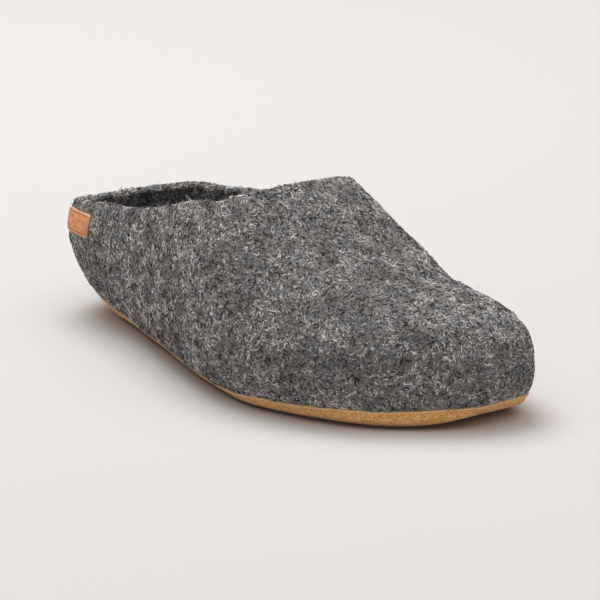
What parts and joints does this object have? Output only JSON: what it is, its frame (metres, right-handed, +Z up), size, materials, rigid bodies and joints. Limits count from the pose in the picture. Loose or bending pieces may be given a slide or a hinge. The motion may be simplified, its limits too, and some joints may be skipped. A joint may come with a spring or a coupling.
{
  "type": "felt slipper",
  "caption": "Low-backed felt house slipper for the right foot, felted in one piece, with a suede sole and a small leather heel label.",
  "frame": {"origin": "on the floor, under the middle of the slipper's box", "axes": "+X from the heel to the toe, +Y towards the inner side of the foot, +Z up; the sole stands on Z = 0"},
  "size_m": [0.276, 0.1124, 0.0903],
  "materials": {
    "wool_felt": "dark grey mottled wet-felted wool, matt and hairy",
    "suede": "ochre suede, matt nap",
    "insole_felt": "dark grey needled felt, matt",
    "label_leather": "tan vegetable-tanned leather, satin, bare"
  },
  "bodies": {
    "root": {"upper": "wool_felt", "outsole": "suede", "insole": "insole_felt", "heel_label": "label_leather"}
  },
  "joints": []
}
